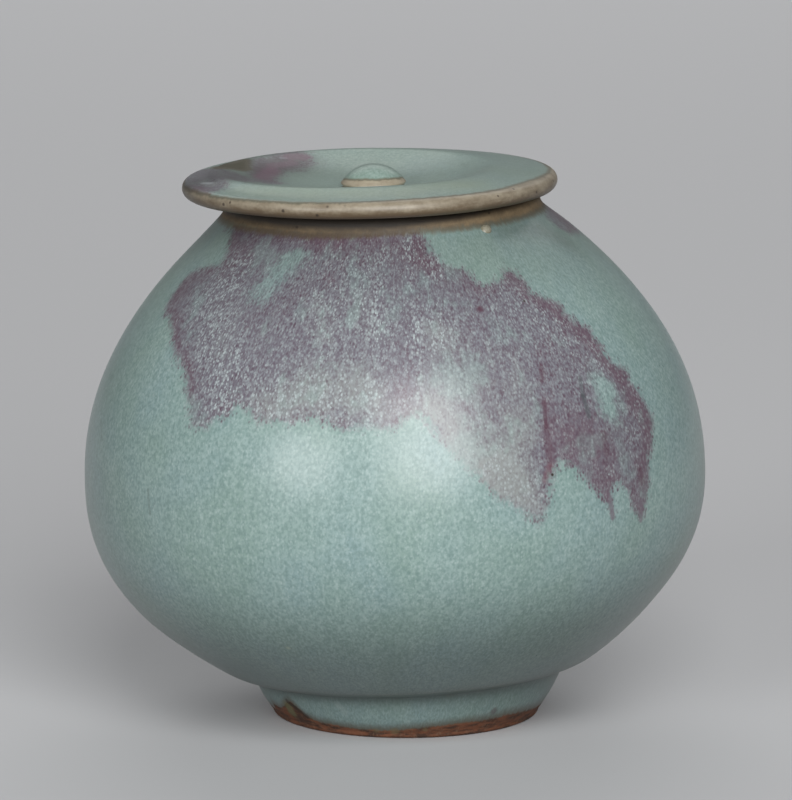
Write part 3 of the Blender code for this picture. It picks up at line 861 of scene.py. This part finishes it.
# The lid is thrown as one shallow dish with a rolled edge. A collar luted underneath keeps it in the mouth, and
# a button pressed into the dish is its knob. It is glazed on top, thin over its edge, and bare underneath.
lid_overhang = 5.3 * MM
lid_edge_thickness = 3.0 * MM
rim_slope_width = 8.4 * MM
crest_height = 4.2 * MM
crest_drift = 2.5 * MM
dish_floor_height = 0.8 * MM
dish_fullness = 2.6
dish_thickness = 3.4 * MM
bulge_round = 2.4 * MM
ring_play, ring_near_gap = 3.0 * MM, 0.97 * MM
ring_thickness = 3.0 * MM
ring_depth = 5.0 * MM
ring_edge = 0.8 * MM
knob_radius = 5.5 * MM
knob_join_radius = 5.15 * MM
knob_height = 4.8 * MM
knob_ridge_height = 1.65 * MM
knob_ridge_round = 0.4 * MM
knob_drift = 0.6 * MM
knob_drift_reach = 9.0 * MM
seat_gap = 0.3 * MM
lid_radius = mouth_radius + lip_thickness + lid_overhang
crest_radius = lid_radius - rim_slope_width
ring_radius = mouth_radius - ring_play

ridge_radius = knob_radius - knob_ridge_round
dome_rise = knob_height - knob_ridge_height
dome_round = (knob_radius ** 2 + dome_rise ** 2) / (2 * dome_rise)
dome_end = math.degrees(math.acos((ridge_radius + 0.1 * MM) / dome_round))
dome = arc((0, knob_height - dome_round), dome_round, dome_round, 90, dome_end, 30)
ridge = arc((ridge_radius, knob_ridge_height), knob_ridge_round, knob_ridge_round, 30, -75, 8)
dish_rows = 400
dish_radius = np.linspace(knob_join_radius + 0.25 * MM, crest_radius, dish_rows)
dish_rise = (crest_height - dish_floor_height) * (dish_radius / crest_radius) ** dish_fullness
dish = np.column_stack([dish_radius, dish_floor_height + dish_rise])
edge_round = lid_edge_thickness / 2
edge_middle = (lid_radius - edge_round, edge_round)
rim_slope = np.array([(crest_radius, crest_height), (edge_middle[0], lid_edge_thickness)])
lid_top = softened(spaced(joined(dish, rim_slope), 0.3 * MM), 9)
edge = arc(edge_middle, edge_round, edge_round, 88, -90, 22)
ring_middle = (ring_radius - ring_edge, -ring_depth + ring_edge)
ring_outer = arc(ring_middle, ring_edge, ring_edge, 0, -90)
ring_bore = ring_radius - ring_thickness
ring_inner = arc((ring_bore + ring_edge, ring_middle[1]), ring_edge, ring_edge, -90, -180)
ring_joint = arc((ring_radius + ring_edge, -ring_edge), ring_edge, ring_edge, 90, 180, 5)
bulge_height = dish_floor_height - dish_thickness
bulge_radius = ring_bore - 0.4 * MM
bulge = arc((bulge_radius - bulge_round, -seat_gap), bulge_round, -bulge_height - seat_gap, 0, -90, 8)
lid_outline = joined(
    dome, ridge, [(knob_join_radius, dish_floor_height + 0.3 * MM)], lid_top[:-1:2], edge,
    spaced([edge[-1], ring_joint[0]], 1.0 * MM), ring_joint, spaced([ring_joint[-1], ring_outer[0]], 0.8 * MM),
    ring_outer, ring_inner, spaced([ring_inner[-1], (ring_inner[-1][0], -seat_gap)], 0.8 * MM),
    [(bulge_radius, -seat_gap)], bulge, spaced([bulge[-1], (0, bulge_height)], 1.5 * MM))

lid_glaze, lid_nodes = node_material("lid_glaze_and_clay")
lid_sizes = ("Unevenness", "Tilt", "Knob drift", "Crest drift", "Front lift")
nodes, sizes, thrown = begin_shaping("drawn_lid", lid_sizes)
spot = nodes.add("GeometryNodeInputPosition")
away = nodes.vector("LENGTH", nodes.vector("MULTIPLY", spot, (1.0, 1.0, 0.0)))
knob_share = nodes.less(1.0, nodes.ramp(away, knob_radius, knob_radius + knob_drift_reach))
crest_in = nodes.ramp(away, knob_radius, crest_radius)
crest_out = nodes.less(1.0, nodes.ramp(away, crest_radius, lid_radius - lid_edge_thickness))
above_floor = nodes.ramp(nodes.part(spot, "Z"), 0.0, dish_floor_height)
crest_share = nodes.times(crest_in, crest_out, above_floor)
drift = nodes.less(nodes.times(knob_share, sizes["Knob drift"]), nodes.times(crest_share, sizes["Crest drift"]))
forward = nodes.reckon("MAXIMUM", 0.0, nodes.reckon("DIVIDE", nodes.part(spot, "Y"), -crest_radius))
front = nodes.times(crest_share, forward, sizes["Front lift"])
lid_shift = ring_play - ring_near_gap
lip_rise = (rim_height - belly_height) * math.cos(jar_lean) + belly_height * math.cos(jar_lean)
lid_x = -(rim_height - belly_height) * math.sin(jar_lean) - lid_shift
lid_z = lip_rise + seat_gap - lid_shift * math.tan(lid_tilt)
end_shaping(nodes, thrown, nodes.joined(drift, 0.0, front), sizes["Unevenness"],
            (-2 * ring_depth, -ring_depth), sizes["Tilt"], (lid_x, 0, lid_z), lid_glaze)
lid = fired("glazed_lid", lid_outline, int(np.argmax(lid_outline[:, 0])), nodes.tree,
            {"Steps": turn_steps, "Unevenness": 0.12 * MM, "Tilt": lid_tilt, "Knob drift": knob_drift,
             "Crest drift": crest_drift, "Front lift": 0.35 * MM})
lid_clay = Surface(lid, (lid_x, 0))

# Its splash lies at the back left, a wash of violet over the left of the rim, and a bare place between them.
# The glaze is thin over the rolled edge and the knob's ridge, where the buff clay shows through.
lid_splash = [
    (282, 153.4), (297, 151.5), (304, 156), (310, 163), (302, 167.4), (290, 169.3), (280, 171), (273, 177),
    (277, 183), (267, 183), (257, 180.5), (254, 172), (251.5, 165.5), (258, 159), (272, 156.5)]
rim_wash = [
    (185, 182), (191.6, 173.5), (204, 169.5), (228, 171.3), (243, 176.5), (254, 181.3), (238, 180),
    (224, 182), (221, 189), (207, 191.5), (194, 191.5), (186.5, 187)]
bare_place = [
    (213, 167), (228.6, 163.2), (238.8, 160.3), (249, 159), (249.6, 169.3), (244, 171), (230, 168.7),
    (217, 168.9)]
top_only = (-60, 4)
lid_purple = np.maximum(lid_clay.patch(lid_clay.seen(lid_splash), top_only),
                        lid_clay.patch(lid_clay.seen(rim_wash), top_only))
lid_clay.keep("splash", 0.7 * lid_purple + 0.9, -12, 12)
lid_milk = [
    (1.6, 0.8, (272, 161), (286, 160)), (1.2, 0.8, (202, 183), (214, 185)),
    (2.0, 0.5, (215, 172), (240, 178))]
lid_violet = [
    (2.4, 1.0, (264, 172), (280, 164), (303, 156)), (2.4, 0.9, (264, 178), (268, 172)),
    (1.6, 1.0, (190, 187), (202, 190))]
lid_clay.keep("milk", lid_clay.brushed(lid_milk), 0, 1.2)
lid_clay.keep("violet", lid_clay.brushed(lid_violet), 0, 1.4)
lid_clay.keep("frost", lid_clay.brushed([(1.6, 0.7, (200, 183), (214, 184))]) + 0.05, 0, 1)
lid_clay.keep("fade", np.zeros(len(lid_clay.points)))
rim_line = [
    (187, 189), (193, 191), (199, 192.5), (214, 196), (231, 198.5), (262, 201), (290, 202.5), (315, 202.8),
    (340, 202.5), (362, 202), (383, 201), (402, 199.6), (434, 197.4), (459, 195.2), (478, 192.8),
    (497, 189.5), (517, 184.6), (529, 180.6), (542, 175.6), (549, 172)]
rim_thin = lid_clay.along - lid_clay.line_round(rim_line, -1.5)
level = np.array(Matrix.Rotation(lid_tilt, 3, "Y"))
local = ((lid_clay.points - (lid_x, 0, lid_z)) @ level.T - (knob_drift, 0, 0)) / MM
ridge_top = knob_ridge_height / MM + 0.62 - 0.1 * local[:, 1]
above_dish = np.minimum(local[:, 2] - 0.95, 5.75 - np.hypot(local[:, 0], local[:, 1]))
knob_thin = np.minimum(ridge_top - local[:, 2], above_dish * 2)
bare_thin = lid_clay.patch(lid_clay.seen(bare_place), top_only) * 1.5
lid_clay.keep("thin", np.maximum(np.maximum(rim_thin * 1.4, knob_thin * 3), bare_thin))
lid_clay.keep("khaki", bare_thin / 3 + 0.55, 0, 1)
lid_clay.keep("bare", lid_clay.along - 6.5)
# Painted light and shade on the rolled edge: paler over its top, darker underneath.
rim_light_and_shade = np.interp(lid_clay.along, [-2.6, -1.6, -0.4, 0.5, 1.4, 2.6], [0.56, 0.64, 0.56, 0.22, -0.05, -0.3])
lid_clay.keep("paleness", np.where(knob_thin > -1.5, 0.72, rim_light_and_shade))
# Painted shade: strokes darken the left of the dish, its splash and the front slope, with a little more over the
# top and over the whole lid.
lid_shadows = [
    (5.5, 0.5, (195, 183), (215, 177), (262, 168), (290, 166)), (2.5, 0.42, (225, 167), (245, 164)),
    (2.6, 0.18, (264, 166), (302, 158)), (2.0, 0.09, (262, 196), (315, 197.5), (370, 197), (434, 193))]
lid_shade = lid_clay.brushed(lid_shadows)
lid_shade += np.where((lid_clay.along < 0) & (knob_thin < -1.5), 0.08, 0)
lid_clay.keep("shade", lid_shade + 0.05, 0, 0.6)
front_warmth = lid_clay.brushed([(3.0, 0.4, (240, 192), (320, 195), (400, 193), (470, 184))])
lid_clay.keep("warmth", 0.45 + front_warmth, 0, 1)

nodes, place = lid_nodes, lid_nodes.millimetres()
coat = glazed(nodes, place, (0.3, 0.3, 0.9), (0.41, 0.36, 0.27))
clay_grain = nodes.noise(place, 0.9, 4.0, 0.65)
clay = nodes.blend(clay_grain, (0.15, 0.095, 0.06), (0.30, 0.20, 0.135))
bare_edge = nodes.plus(nodes.attribute("bare"), nodes.times(nodes.less(clay_grain, 0.5), 2.0))
bare_share = nodes.ramp(bare_edge, -0.3, 0.5)
khaki = nodes.attribute("khaki")
colour = nodes.blend(bare_share, nodes.blend(khaki, coat["Colour"], (0.06, 0.056, 0.037)), clay)
rose, milk_blue = (0.15, 0.07, 0.11), (0.4, 0.44, 0.46)
lid_marks = [
    (0.4, 0.9, iron, (283, 211)), (0.4, 0.9, iron, (317, 215.5)), (0.4, 0.8, iron, (223.5, 204.4)),
    (0.3, 0.8, iron, (230, 202.5)), (0.3, 0.8, iron, (498, 196)), (0.35, 0.8, iron, (513.5, 189)),
    (0.7, 0.4, milk_blue, (203, 183), (211, 183.5)), (0.5, 0.25, milk_blue, (281, 158), (286, 158)),
    (2.0, 0.5, rose, (290, 157), (304, 157)), (2.2, 0.5, rose, (262, 178), (272, 170)),
    (1.6, 0.35, rose, (272, 166), (292, 163))]
dull = nodes.reckon("MAXIMUM", bare_share, khaki)
rough = nodes.blend(dull, coat["Roughness"], bare_roughness, "FLOAT")
height = nodes.blend(bare_share, coat["Height"], clay_grain, "FLOAT")
finish_coat(nodes, marked(nodes, colour, lid_clay, lid_marks), rough, height)
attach(lid, "lid")
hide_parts("lid_dish", "lid_locating_ring", "lid_knob")
